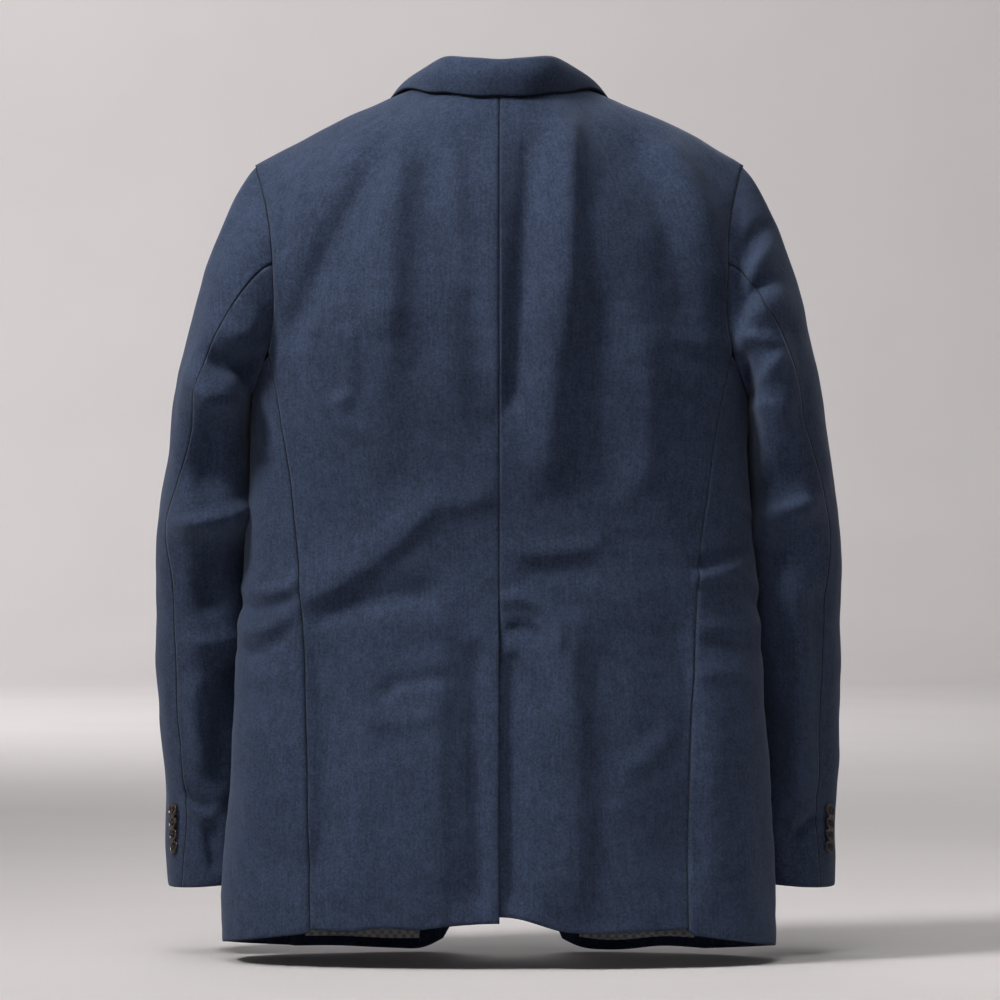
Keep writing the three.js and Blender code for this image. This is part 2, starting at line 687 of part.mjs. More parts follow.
function bodyPanels(sideName, side) {
  const group = new THREE.Group();
  const cloth = () => clothMaterial(navy, 0.9);
  const heart = new THREE.Vector3(side * 60, 0, -300);
  const add = (name, pointAt, columns, rows, thickness, material) => {
    const shape = { pointAt, columns, rows, thickness, heart };
    group.add(clothWall(`${name}_${sideName}`, material, shape));
  };
  add('back', backPanel(sideName, side), 9, 27, bodyCloth, cloth());
  add('side', sidePanel(sideName, side), 6, 20, bodyCloth, cloth());
  add('front', frontPanel(sideName, side), 8, 26, bodyCloth, cloth());
  add('lapel', lapelPanel(sideName, side), 4, 14, bodyCloth, cloth());
  add('lining_front', liningPanel(sideName, side), 4, 6, liningCloth, clothMaterial(liningGrey, 0.6));
  return group;
}

function sleevePanels(sideName, side) {
  const group = new THREE.Group();
  const sleeve = sleeveShape(sideName, side);
  const heart = new THREE.Vector3(side * 262, -30, -400);
  for (const [part, isUpper, columns] of [['upper', true, 12], ['under', false, 8]]) {
    const pointAt = sleevePanel(sleeve, isUpper);
    const shape = { pointAt, columns, rows: 26, thickness: sleeveCloth, heart };
    group.add(clothWall(`${part}_sleeve_${sideName}`, clothMaterial(navy, 0.9), shape));
  }
  group.add(cuffButtons(sideName, side, sleeve));
  return group;
}

function collarMesh() {
  const heart = new THREE.Vector3(0, 55, 0);
  const shape = { pointAt: collarPanel(), columns: 28, rows: 8, thickness: bodyCloth, heart };
  return clothWall('collar', clothMaterial(navy, 0.9), shape);
}

const blazer = new THREE.Group();
for (const [sideName, side] of [['left', 1], ['right', -1]]) {
  blazer.add(bodyPanels(sideName, side));
  blazer.add(sleevePanels(sideName, side));
}
blazer.add(collarMesh());
blazer.add(frontButtons());

export default blazer;
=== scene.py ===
import math

import bmesh
import bpy
import numpy as np
from mathutils import Matrix, Vector
from mathutils.kdtree import KDTree


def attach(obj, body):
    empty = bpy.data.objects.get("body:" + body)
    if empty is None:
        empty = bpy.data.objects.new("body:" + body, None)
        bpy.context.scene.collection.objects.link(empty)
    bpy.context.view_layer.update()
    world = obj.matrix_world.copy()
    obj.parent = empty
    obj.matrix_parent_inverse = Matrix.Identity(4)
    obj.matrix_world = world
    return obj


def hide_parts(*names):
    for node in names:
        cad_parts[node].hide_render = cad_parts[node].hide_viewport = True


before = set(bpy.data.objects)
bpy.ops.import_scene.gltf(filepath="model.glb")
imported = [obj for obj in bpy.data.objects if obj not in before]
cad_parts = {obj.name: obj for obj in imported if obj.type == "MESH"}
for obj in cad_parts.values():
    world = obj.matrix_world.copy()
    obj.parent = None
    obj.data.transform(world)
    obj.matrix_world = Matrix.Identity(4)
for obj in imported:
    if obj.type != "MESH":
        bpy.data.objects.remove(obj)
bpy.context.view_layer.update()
print("frame loaded:", len(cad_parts), "nodes")


# Shader maths: a socket that can be added to, multiplied and so on
class Wire:
    def __init__(self, tree, socket):
        self.tree = tree
        self.socket = socket

    def make(self, kind, settings=None, values=None, output=0):
        node = self.tree.nodes.new(kind)
        for name, value in (settings or {}).items():
            setattr(node, name, value)
        for name, value in (values or {}).items():
            if isinstance(value, Wire):
                self.tree.links.new(value.socket, node.inputs[name])
            else:
                node.inputs[name].default_value = value
        return Wire(self.tree, node.outputs[output])

    def maths(self, operation, second=0.0):
        return self.make("ShaderNodeMath", {"operation": operation}, {0: self, 1: second})

    def __add__(self, other):
        return self.maths("ADD", other)

    def __sub__(self, other):
        return self.maths("SUBTRACT", other)

    def __mul__(self, other):
        return self.maths("MULTIPLY", other)

    def sine(self):
        return self.maths("SINE")

    def wave(self):  # the sine, brought between 0 and 1
        return self.sine() * 0.5 + 0.5

    def clamped(self, low, high):  # 0 at low, 1 at high
        return self.make("ShaderNodeMapRange", {"interpolation_type": "SMOOTHSTEP"},
                         {"Value": self, "From Min": low, "From Max": high})

    def mixed(self, first, second):  # the first colour at 0, the second at 1
        return self.make("ShaderNodeMix", {"data_type": "RGBA"},
                         {"Factor": self, 6: first, 7: second}, output=2)

    def toned(self, look):  # the look's dark colour below its range, its light one above
        ramp = self.make("ShaderNodeValToRGB", values={0: self})
        elements = ramp.socket.node.color_ramp.elements
        for element, place, colour in zip(elements, look["range"], (look["dark"], look["light"])):
            element.position = place
            element.color = colour
        return ramp


def newMaterial(name):
    material = bpy.data.materials.new(name)
    material.use_nodes = True
    tree = material.node_tree
    tree.nodes.clear()
    shader = tree.nodes.new("ShaderNodeBsdfPrincipled")
    output = tree.nodes.new("ShaderNodeOutputMaterial")
    tree.links.new(shader.outputs[0], output.inputs[0])
    return material, Wire(tree, None), shader


def plug(wire, shader, name):
    wire.tree.links.new(wire.socket, shader.inputs[name])


def setInputs(shader, values):
    for name, value in values.items():
        shader.inputs[name].default_value = value


def objectPlaces(wire):
    return wire.make("ShaderNodeTexCoord", output=3)


def clothPlaces(wire):  # across and down the cloth, in metres
    along = wire.make("ShaderNodeUVMap", {"uv_map": "cloth"})
    across = wire.make("ShaderNodeSeparateXYZ", values={0: along})
    return across, Wire(across.tree, across.socket.node.outputs[1])


def addNoise(vector, scale, detail=2.0, roughness=0.5, distortion=0.0):
    return vector.make("ShaderNodeTexNoise", values={
        "Vector": vector, "Scale": scale, "Detail": detail,
        "Roughness": roughness, "Distortion": distortion})


def addBump(height, shader):  # height in metres
    bump = height.make("ShaderNodeBump", values={"Height": height, "Strength": 1.0, "Distance": 1.0})
    plug(bump, shader, "Normal")


cloth = {  # sizes and heights in metres
    "dark": (0.0128, 0.0207, 0.043, 1),
    "light": (0.0345, 0.0525, 0.1, 1),
    "range": (0.625, 0.945),
    "toneShares": {"speckle": 0.8, "mottle": 0.3, "streak": 0.26, "cloud": 0.2},
    "speckleSize": 0.0021,
    "mottleScale": 95.0,
    "cloudScale": 14.0,
    "streakAcross": 520.0,
    "streakDown": 26.0,
    # painted shade: the colour the cloth darkens to near every panel edge and seam, within the reach
    # below
    "paintedEdgeShade": (0.004, 0.006, 0.011, 1),
    "paintedShadeReach": 0.0011,
    "waleSpacing": 0.0014,
    "waleWander": 1.6,
    "waleHeight": 0.000055,
    "speckleHeight": 0.0003,
    "mottleHeight": 0.0005,
    "edgeReach": 0.0013,
    "edgeHeight": 0.00018,
    "roughness": 0.88,
    "specular": 0.25,
    "sheen": 0.16,
    "sheenRoughness": 0.45,
    "sheenTint": (0.55, 0.63, 0.8, 1),
}


def corduroyMaterial():  # navy needlecord: fine wales, mottled nap, faint streaks down the cloth, and painted shade darkening the colour near every panel edge and seam
    material, wire, shader = newMaterial("navyCorduroy")
    places = objectPlaces(wire)
    across, down = clothPlaces(wire)
    speckle = addNoise(places, 1 / cloth["speckleSize"], detail=3.0, roughness=0.7)
    mottle = addNoise(places, cloth["mottleScale"], detail=3.0, roughness=0.65)
    cloud = addNoise(places, cloth["cloudScale"])
    stretched = wire.make("ShaderNodeCombineXYZ", values={
        0: across * cloth["streakAcross"], 1: down * cloth["streakDown"]})
    streak = addNoise(stretched, 1.0, roughness=0.6)
    shares = cloth["toneShares"]
    tone = (speckle * shares["speckle"] + mottle * shares["mottle"]
            + streak * shares["streak"] + cloud * shares["cloud"])
    edge = wire.make("ShaderNodeAttribute", {"attribute_name": "edgeDistance"}, output=2)
    # painted shade: the cloth's colour darkens towards every panel edge and seam
    colour = edge.clamped(0.0, cloth["paintedShadeReach"]).mixed(cloth["paintedEdgeShade"], tone.toned(cloth))
    plug(colour, shader, "Base Color")
    wander = (cloud - 0.5) * cloth["waleWander"]
    wale = (across * (2 * math.pi / cloth["waleSpacing"]) + wander).wave()
    rounded = edge.clamped(0.0, cloth["edgeReach"])
    height = (wale * cloth["waleHeight"] + speckle * cloth["speckleHeight"]
              + mottle * cloth["mottleHeight"] + rounded * cloth["edgeHeight"])
    addBump(height, shader)
    setInputs(shader, {
        "Roughness": cloth["roughness"], "Specular IOR Level": cloth["specular"],
        "Sheen Weight": cloth["sheen"], "Sheen Roughness": cloth["sheenRoughness"],
        "Sheen Tint": cloth["sheenTint"]})
    return material


lining = {
    "pale": (0.74, 0.73, 0.73, 1),
    "grey": (0.4, 0.41, 0.45, 1),
    "motif": 0.0075,
    "motifEdge": (-0.1, 0.25),
    "threads": 12,
    "threadHeight": 0.00004,
    "roughness": 0.45,
    "sheen": 0.1,
}


def liningMaterial():  # pale woven lining, a small repeat of grey blocks and fine threads
    material, wire, shader = newMaterial("paleLining")
    across, down = clothPlaces(wire)
    turn = 2 * math.pi / lining["motif"]
    blocks = ((across * turn).sine() * (down * turn).sine()).clamped(*lining["motifEdge"])
    plug(blocks.mixed(lining["pale"], lining["grey"]), shader, "Base Color")
    addBump((across * (turn * lining["threads"])).wave() * lining["threadHeight"], shader)
    setInputs(shader, {"Roughness": lining["roughness"], "Sheen Weight": lining["sheen"]})
    return material


horn = {
    "dark": (0.012, 0.009, 0.008, 1),
    "light": (0.085, 0.055, 0.04, 1),
    "range": (0.38, 0.72),
    "grain": (60, 130, 220),
    "distortion": 0.8,
    "roughness": 0.26,
    "roughnessSpread": 0.14,
    "coat": 0.25,
}


def hornMaterial():  # dark horn with paler clouds
    material, wire, shader = newMaterial("darkHorn")
    grain = wire.make("ShaderNodeMapping", values={"Vector": objectPlaces(wire), "Scale": horn["grain"]})
    cloud = addNoise(grain, 1.0, detail=4.0, distortion=horn["distortion"])
    plug(cloud.toned(horn), shader, "Base Color")
    plug(cloud * horn["roughnessSpread"] + horn["roughness"], shader, "Roughness")
    setInputs(shader, {"Coat Weight": horn["coat"]})
    return material


sewingThread = {
    "dark": (0.012, 0.015, 0.025, 1),
    "light": (0.04, 0.047, 0.07, 1),
    "range": (0.2, 0.8),
    "twist": 900.0,
    "roughness": 0.7,
}


def threadMaterial():  # navy thread with its twist
    material, wire, shader = newMaterial("navyThread")
    twist = wire.make("ShaderNodeTexWave", values={
        "Vector": objectPlaces(wire), "Scale": sewingThread["twist"]})
    plug(twist.toned(sewingThread), shader, "Base Color")
    setInputs(shader, {"Roughness": sewingThread["roughness"]})
    return material


corduroy = corduroyMaterial()
paleLining = liningMaterial()
darkHorn = hornMaterial()
navyThread = threadMaterial()
print("materials made")


# Folds in millimetres: from x, z to x, z, bow, width on the left and on the right of that
# direction with x to the right and z up, and height, below nought for a hollow
backFolds = [
    (98, -40, 184, -214, 4, 13, 24, -5.0),
    (86, -34, 97, -205, 0, 20, 13, 3.4),
    (97, -190, 102, -330, 2, 22, 16, 2.0),
    (66, -55, 2, -300, -6, 20, 12, -3.0),
    (40, -52, 30, -180, 2, 8, 8, 1.2),
    (3, -30, 1, -285, 0, 14, 7, 1.6),
    (-27, -38, -10, -278, -2, 10, 14, -4.2),
    (-65, -12, -62, -175, 0, 17, 9, 4.4),
    (-62, -170, -44, -345, 4, 18, 13, 3.4),
    (-116, -30, -168, -212, -4, 34, 15, -4.6),
    (-148, -36, -197, -172, -6, 17, 12, 3.4),
    (-90, -175, -92, -350, 3, 14, 14, -2.0),
    (-128, -212, -131, -345, -3, 15, 13, 2.6),
    (162, -212, 140, -264, 3, 6, 8, -2.6),
    (132, -208, 136, -276, -4, 8, 8, 2.0),
    (150, -268, 118, -306, 4, 8, 10, 1.4),
    (-158, -212, -206, -222, 4, 7, 9, 0.9),
    (-152, -226, -206, -238, 4, 8, 9, -1.2),
    (190, -80, 191, -140, 1, 5, 7, -1.6),
    (178, -448, 58, -362, 9, 10, 20, 3.4),
    (60, -364, 4, -352, 3, 10, 16, 2.0),
    (164, -466, 58, -440, -6, 9, 12, -3.6),
    (104, -458, 44, -462, 5, 16, 22, 2.8),
    (104, -527, 44, -514, -4, 7, 9, -2.0),
    (116, -552, 56, -545, 4, 9, 12, 1.5),
    (164, -486, 158, -690, -5, 10, 24, -4.2),
    (50, -486, 52, -712, 3, 32, 12, 3.2),
    (20, -488, 17, -712, 0, 12, 8, -3.4),
    (-12, -492, -11, -712, 0, 8, 13, -3.0),
    (-60, -470, -66, -716, -4, 24, 14, 4.8),
    (-156, -474, -168, -706, -8, 44, 13, -5.2),
    (-116, -596, -154, -560, 4, 8, 12, 1.6),
    (-4, -444, -54, -484, -14, 7, 9, 2.6),
    (-8, -470, -36, -482, -5, 6, 6, -2.6),
    (-6, -488, -30, -508, -4, 5, 6, 1.6),
    (-8, -404, -86, -398, 4, 8, 13, 1.8),
    (-20, -424, -92, -426, -4, 8, 11, -1.4),
    (-172, -418, -222, -398, 3, 5, 8, -2.6),
    (-174, -429, -222, -412, 3, 5, 8, 2.2),
    (-206, -362, -232, -374, 2, 5, 6, 1.8),
    (-180, -470, -226, -474, 3, 6, 9, 1.8),
    (-182, -484, -228, -492, -3, 6, 9, -2.0),
    (-176, -512, -230, -520, -3, 6, 10, 1.6),
    (226, -440, 176, -430, 4, 6, 7, 2.4),
    (226, -454, 180, -444, 3, 5, 6, -2.4),
    (228, -478, 182, -457, 4, 6, 8, 2.2),
    (228, -496, 186, -474, 4, 6, 8, -2.4),
    (230, -514, 180, -508, 3, 9, 12, 1.4),
    (210, -640, 176, -690, 5, 10, 14, -1.8),
    (228, -610, 188, -664, 6, 9, 14, 1.4),
]
frontFolds = [
    (156, -330, 44, -396, -8, 10, 16, 2.4),
    (160, -358, 48, -408, -8, 9, 13, -2.2),
    (156, -434, 44, -404, 6, 9, 14, 2.0),
    (152, -462, 52, -424, 6, 9, 14, -1.6),
    (-156, -330, -40, -396, 8, 10, 16, -2.2),
    (-160, -360, -44, -410, 8, 9, 13, 2.2),
    (-156, -440, -40, -406, -6, 9, 14, -1.8),
    (-150, -468, -48, -428, -6, 9, 14, 1.6),
    (166, -90, 176, -220, 8, 14, 20, -3.0),
    (-166, -90, -176, -220, -8, 20, 14, -3.0),
    (140, -120, 150, -240, 6, 16, 16, 2.0),
    (-142, -130, -150, -246, -6, 16, 16, 1.8),
    (122, -550, 98, -740, 6, 18, 22, 2.2),
    (-112, -540, -104, -740, -6, 18, 22, 2.0),
    (60, -560, 58, -730, 4, 14, 18, -1.6),
    (-68, -560, -72, -730, 4, 14, 18, -1.6),
]
sideFolds = [  # here the first and third numbers are depths towards the back
    (60, -424, -60, -438, 6, 6, 8, 2.2),
    (56, -440, -50, -456, 6, 5, 8, -2.2),
    (58, -470, -64, -482, -6, 6, 9, 1.8),
    (52, -492, -40, -500, -5, 6, 9, -1.6),
    (30, -290, 6, -380, 6, 12, 16, 1.8),
    (-30, -300, -40, -390, 6, 12, 16, -1.6),
    (20, -560, 8, -720, 6, 16, 20, 1.6),
    (-44, -580, -50, -740, 6, 16, 20, -1.4),
]
sleeveFolds = {
    "left": [
        (256, -176, 226, -206, 4, 9, 12, -3.0),
        (250, -196, 212, -203, 5, 16, 18, 4.6),
        (256, -234, 206, -236, 7, 10, 15, -9.5),
        (282, -246, 246, -272, 5, 9, 12, 3.8),
        (236, -286, 264, -352, 5, 20, 22, -7.5),
        (226, -250, 222, -350, 0, 10, 9, -6.0),
        (288, -380, 222, -360, 6, 15, 8, 6.0),
        (226, -386, 262, -456, 6, 14, 18, -6.5),
        (224, -400, 226, -480, 2, 8, 8, -4.0),
        (278, -486, 228, -478, 4, 12, 9, 3.4),
        (236, -494, 250, -610, 5, 12, 15, -4.6),
        (274, -520, 266, -600, 3, 9, 10, 2.0),
        (240, -560, 226, -650, -3, 7, 9, 1.8),
        (284, -618, 262, -636, 2, 4, 6, -2.4),
        (286, -628, 258, -650, 2, 5, 6, 2.4),
        (262, -646, 256, -690, 2, 5, 7, -2.0),
        (244, -642, 240, -696, 2, 6, 6, 1.6),
        (244, -96, 262, -160, 6, 9, 12, 1.8),
    ],
    "right": [
        (-205, -84, -212, -200, 0, 6, 8, -3.2),
        (-240, -110, -216, -142, 3, 7, 9, -3.6),
        (-246, -132, -220, -166, 3, 8, 9, 3.2),
        (-244, -160, -216, -186, 3, 6, 8, -2.6),
        (-252, -176, -220, -206, 4, 12, 15, 4.6),
        (-204, -218, -244, -219, -4, 8, 6, 4.0),
        (-212, -234, -230, -270, 2, 10, 10, -9.0),
        (-248, -230, -234, -262, 3, 7, 10, 3.6),
        (-236, -266, -244, -334, -4, 7, 14, 4.6),
        (-220, -276, -230, -388, -2, 10, 10, -8.0),
        (-256, -200, -270, -296, -6, 10, 13, -4.4),
        (-268, -300, -284, -366, -4, 12, 14, 1.6),
        (-236, -378, -284, -362, -5, 17, 8, 5.4),
        (-250, -404, -286, -420, -4, 9, 12, -2.8),
        (-226, -400, -232, -470, 0, 8, 9, -3.4),
        (-262, -436, -270, -630, -4, 13, 15, 2.8),
        (-284, -440, -288, -630, -3, 9, 10, -2.4),
        (-244, -480, -246, -620, 3, 10, 12, -3.0),
        (-282, -632, -262, -652, 3, 5, 6, 2.4),
        (-284, -644, -266, -664, 3, 4, 6, -2.4),
        (-246, -640, -252, -696, 2, 6, 8, 1.8),
    ],
}
foldDepths = {"back": 1.95, "front": 1.3, "side": 0.7, "sleeve": 2.3}  # times the heights above
longestFade = 0.45  # the most of a fold's length that one end fades over
rumples = {  # wave length and depth in metres
    "slow": (0.1, 0.0011),
    "fine": (0.034, 0.0003),
    "collar": (0.07, 0.0005),
}
rumpleMix = {"waves": 14, "shortest": 0.6, "spread": 0.9}
rumpleSeeds = {"torso": 3, "left": 11, "right": 12, "collar": 21}


def smooth(value, low, high):
    share = np.clip((value - low) / (high - low), 0, 1)
    return share * share * (3 - 2 * share)


def foldHeight(across, up, fold):
    x1, z1, x2, z2, bow, widthA, widthB, height = [value / 1000 for value in fold]
    length = math.hypot(x2 - x1, z2 - z1)
    unit = ((x2 - x1) / length, (z2 - z1) / length)
    along = ((across - x1) * unit[0] + (up - z1) * unit[1]) / length
    offset = (up - z1) * unit[0] - (across - x1) * unit[1]
    offset = offset - bow * 4 * along * (1 - along)
    width = np.where(offset > 0, widthA, widthB)
    end = np.minimum(max(widthA, widthB) / length, longestFade)
    taper = smooth(along, -end, end) * (1 - smooth(along, 1 - end, 1 + end))
    return height * taper * np.exp(-((offset / width) ** 2))


def sumFolds(across, up, folds):
    total = np.zeros(len(across))
    for fold in folds:
        total += foldHeight(across, up, fold)
    return total


def rumple(places, seed, kind):  # uneven waves, the same each run
    pitch, depth = rumples[kind]
    rng = np.random.default_rng(seed)
    total = np.zeros(len(places))
    for wave in range(rumpleMix["waves"]):
        direction = rng.normal(size=3)
        direction /= np.linalg.norm(direction)
        turns = 2 * math.pi / (pitch * (rumpleMix["shortest"] + rumpleMix["spread"] * rng.random()))
        total += np.sin(places @ direction * turns + rng.random() * 2 * math.pi)
    return total * depth / math.sqrt(rumpleMix["waves"])


def clothRumple(places, seed):
    return rumple(places, seed, "slow") + rumple(places, seed + 2, "fine")


torso = {  # sizes in metres, and each pair is where something starts and where it is full
    "halfWidth": 0.225,
    "halfDepth": 0.108,
    "turnsUp": (-0.16, -0.02),
    "seen": (-0.004, 0.03),
    "belowNeck": (0.0, 0.05),
    "beside": (0.55, 0.9),
    "sideways": 0.5,
}
sleeveRing = {
    "half": 0.039,
    "deep": 0.061,
    "lowest": -0.70,
    "highest": -0.28,
    "levels": 12,
    "slice": 0.02,
    "belowTop": (0.06, 0.1),
    "seen": (-0.25, 0.2),
    "sideways": 0.2,
    "backwards": 0.8,
    "hug": 0.0075,
    "hugFacing": (0.2, 0.9),
    "hugStart": (0.235, 0.275),
    "hugEnd": (0.47, 0.56),
}
ringSteps = 1441


def ringArc(half, deep):  # distance round an ellipse by angle, from its side
    angles = np.linspace(-math.pi, math.pi, ringSteps)
    speed = np.hypot(half * np.sin(angles), deep * np.cos(angles))
    travelled = np.concatenate([[0], np.cumsum((speed[1:] + speed[:-1]) / 2 * np.diff(angles))])
    return angles, travelled - np.interp(0, angles, travelled)


def torsoAcross(places):  # from the centre back or front, round the ring
    angles, arcs = ringArc(torso["halfWidth"], torso["halfDepth"])
    quarter = np.interp(math.pi / 2, angles, arcs)
    angle = np.arctan2(np.abs(places[:, 1]) / torso["halfDepth"],
                       np.abs(places[:, 0]) / torso["halfWidth"])
    return np.sign(places[:, 0]) * (quarter - np.interp(angle, angles, arcs))


def unitRows(x, y, z):
    rows = np.stack([x, y, z], axis=1)
    return rows / np.maximum(np.linalg.norm(rows, axis=1), 1e-9)[:, None]


def torsoMove(places):
    across, depth, up = places.T
    away = unitRows(across / torso["halfWidth"] ** 2, depth / torso["halfDepth"] ** 2, 0 * up)
    outward = unitRows(away[:, 0], away[:, 1], smooth(up, *torso["turnsUp"]))
    level = smooth(-up, *torso["belowNeck"])
    behind = foldDepths["back"] * sumFolds(across, up, backFolds) * smooth(depth, *torso["seen"]) * level
    before = foldDepths["front"] * sumFolds(across, up, frontFolds) * smooth(-depth, *torso["seen"])
    beside = foldDepths["side"] * sumFolds(depth, up, sideFolds)
    beside = beside * smooth(np.abs(away[:, 0]), *torso["beside"])
    facing = outward * [torso["sideways"], 1, 1]
    waves = clothRumple(places, rumpleSeeds["torso"])
    return facing * (behind + before)[:, None] + outward * (beside + waves)[:, None]


# Sheets: each copies its CAD node, is smoothed, folded and given its cloth coordinates
def readNumbers(items, name, width=1, kind=np.float64):
    flat = np.empty(len(items) * width, dtype=kind)
    items.foreach_get(name, flat)
    return flat.reshape(-1, width) if width > 1 else flat


def readPlaces(mesh):
    return readNumbers(mesh.vertices, "co", 3)


def writePlaces(mesh, places):
    mesh.vertices.foreach_set("co", places.reshape(-1))
    mesh.update()


def nodePlaces(name):
    return readPlaces(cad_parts[name].data)


def sleeveAxis(side):  # the sleeve's middle line and half sizes, read from its two nodes
    places = np.concatenate([nodePlaces(f"{part}_sleeve_{side}") for part in ("upper", "under")])
    levels = np.linspace(sleeveRing["lowest"], sleeveRing["highest"], sleeveRing["levels"])
    rows = []
    for level in levels:
        near = places[np.abs(places[:, 2] - level) < sleeveRing["slice"]]
        low, high = near.min(axis=0)[:2], near.max(axis=0)[:2]
        rows.append(np.concatenate([(low + high) / 2, (high - low) / 2]))
    return levels, np.array(rows)


def sleeveMove(places, side, fromBody):
    levels, rows = sleeveAxis(side)
    middleX, middleY, half, deep = [np.interp(places[:, 2], levels, row) for row in rows.T]
    mirror = 1 if side == "left" else -1
    out = mirror * (places[:, 0] - middleX)
    back = places[:, 1] - middleY
    away = unitRows(mirror * out / half ** 2, back / deep ** 2, 0 * out)
    angles, arcs = ringArc(sleeveRing["half"], sleeveRing["deep"])
    across = np.interp(np.arctan2(back / deep, out / half), angles, arcs)
    facing = np.stack([away[:, 0] * sleeveRing["sideways"],
                       np.maximum(away[:, 1], sleeveRing["backwards"]), 0 * out], axis=1)
    level = smooth(-places[:, 2], *sleeveRing["belowTop"])
    seen = foldDepths["sleeve"] * sumFolds(places[:, 0], places[:, 2], sleeveFolds[side])
    seen = seen * smooth(away[:, 1], *sleeveRing["seen"]) * level
    waves = clothRumple(places, rumpleSeeds[side])
    inside = smooth(-away[:, 0] * mirror, *sleeveRing["hugFacing"])  # the side next to the body
    inside *= smooth(-places[:, 2], *sleeveRing["hugStart"])
    inside *= 1 - smooth(-places[:, 2], *sleeveRing["hugEnd"])
    own = facing * seen[:, None] + away * (waves * level)[:, None]
    own[:, 0] -= mirror * inside * sleeveRing["hug"]
    share = smooth(fromBody, 0.0, seams["shareReach"])[:, None]
    return across, own * share + torsoMove(places) * (1 - share)


panel = {  # angles in degrees
    "weld": 0.00001,
    "joinAngle": 40,
    "topology": 1.5,
    "rimAngle": 48,
    "cornerAngle": 22,
    "leastSquare": 0.2,
    "limitTurns": 6,
    "levels": 3,
    "liningLevels": 2,
}
seams = {  # in metres
    "close": 0.0003,
    "lap": 0.0005,
    "joinWithin": 0.003,
    "shareReach": 0.018,
    "dip": 0.0005,
    "dipReach": 0.0011,
    "onEdge": 0.000001,
    "pullWithin": 0.006,
    "pullReach": 0.016,
    "farthest": 0.02,
}


def selectOnly(*pieces):
    bpy.ops.object.select_all(action="DESELECT")
    for piece in pieces:
        piece.select_set(True)
    bpy.context.view_layer.objects.active = pieces[0]


def rimPoints(mesh):  # points along every sharp edge of a closed sheet
    loopEdges = readNumbers(mesh.loops, "edge_index", kind=np.int32)
    loopTotals = readNumbers(mesh.polygons, "loop_total", kind=np.int32)
    loopFaces = np.repeat(np.arange(len(mesh.polygons)), loopTotals)
    pairs = loopFaces[np.argsort(loopEdges, kind="stable")].reshape(-1, 2)
    normals = readNumbers(mesh.polygons, "normal", 3, np.float32)
    agreement = (normals[pairs[:, 0]] * normals[pairs[:, 1]]).sum(axis=1)
    sharp = agreement < math.cos(math.radians(panel["rimAngle"]))
    ends = readNumbers(mesh.edges, "vertices", 2, np.int32)[sharp]
    corners = readNumbers(mesh.vertices, "co", 3, np.float32)
    starts, stops = corners[ends[:, 0]], corners[ends[:, 1]]
    return np.concatenate([starts, stops, (starts + stops) / 2])


def pointTree(points):
    tree = KDTree(len(points))
    for index, place in enumerate(points):
        tree.insert(place, index)
    tree.balance()
    return tree


def distancesTo(tree, places):
    return np.array([tree.find(place)[2] for place in places])


def isOver(edge, degrees):
    return edge.calc_face_angle(0) > math.radians(degrees)


def creaseRims(build):  # keeps the wall's edges sharp, and gives the narrow faces between them
    crease = build.edges.layers.float.new("crease_edge")
    rimFaces = set()
    for face in build.faces:
        if sum(isOver(edge, panel["rimAngle"]) for edge in face.edges) > 1:
            rimFaces.add(face)
    for edge in build.edges:
        onRim = rimFaces.issuperset(edge.link_faces)
        angle = panel["cornerAngle"] if onRim else panel["rimAngle"]
        edge[crease] = 1.0 if isOver(edge, angle) else 0.0
    return rimFaces


def pushRims(rimFaces, neighbours):  # moves each rim out, or onto the edge that it is sewn to
    normals = {}
    for face in rimFaces:
        for vertex in face.verts:
            normals.setdefault(vertex, []).append(face.normal.copy())
    for vertex, around in normals.items():
        outward = sum(around, Vector()) / len(around)
        outward /= max(outward.length_squared, panel["leastSquare"])  # further out at a corner
        met, _, gap = neighbours.find(vertex.co) if neighbours else (None, None, math.inf)
        if gap < seams["joinWithin"]:
            vertex.co = met + outward * seams["lap"]
        else:
            vertex.co += outward * seams["close"]


def limitPlaces(piece, smoother):  # where the smoothed sheet passes its own corners
    smoother.levels = 1
    bpy.context.view_layer.update()
    shown = piece.evaluated_get(bpy.context.evaluated_depsgraph_get())
    return readPlaces(shown.data)[:len(piece.data.vertices)]


def smoothPanel(piece, levels):  # rounds the sheet and keeps its corners where they were
    smoother = piece.modifiers.new("smooth", "SUBSURF")
    smoother.use_limit_surface = True
    wanted = readPlaces(piece.data)
    for turn in range(panel["limitTurns"]):
        missed = wanted - limitPlaces(piece, smoother)
        writePlaces(piece.data, readPlaces(piece.data) + missed)
    smoother.levels = levels
    smoother.render_levels = levels
    selectOnly(piece)
    bpy.ops.object.modifier_apply(modifier=smoother.name)


def makePanel(nodeName, pieceName, levels, neighbours):
    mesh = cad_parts[nodeName].data.copy()
    mesh.name = pieceName
    mesh.materials.clear()
    build = bmesh.new()
    build.from_mesh(mesh)
    bmesh.ops.remove_doubles(build, verts=build.verts, dist=panel["weld"])
    bmesh.ops.join_triangles(
        build, faces=build.faces, angle_face_threshold=math.radians(panel["joinAngle"]),
        angle_shape_threshold=math.pi, topology_influence=panel["topology"])
    build.normal_update()
    pushRims(creaseRims(build), neighbours)
    build.to_mesh(mesh)
    build.free()
    piece = bpy.data.objects.new(pieceName, mesh)
    bpy.context.scene.collection.objects.link(piece)
    smoothPanel(piece, levels)
    return piece


def writeCloth(mesh, across, down, distances):  # cloth coordinates in metres
    layer = mesh.uv_layers.new(name="cloth")
    corners = readNumbers(mesh.loops, "vertex_index", kind=np.int32)
    layer.uv.foreach_set("vector", np.stack([across[corners], down[corners]], axis=1).reshape(-1))
    attribute = mesh.attributes.new("edgeDistance", "FLOAT", "POINT")
    attribute.data.foreach_set("value", distances)


def dress(piece, material, node):
    piece.data.materials.append(material)
    piece.data.shade_smooth()
    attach(piece, "root")
    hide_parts(node)


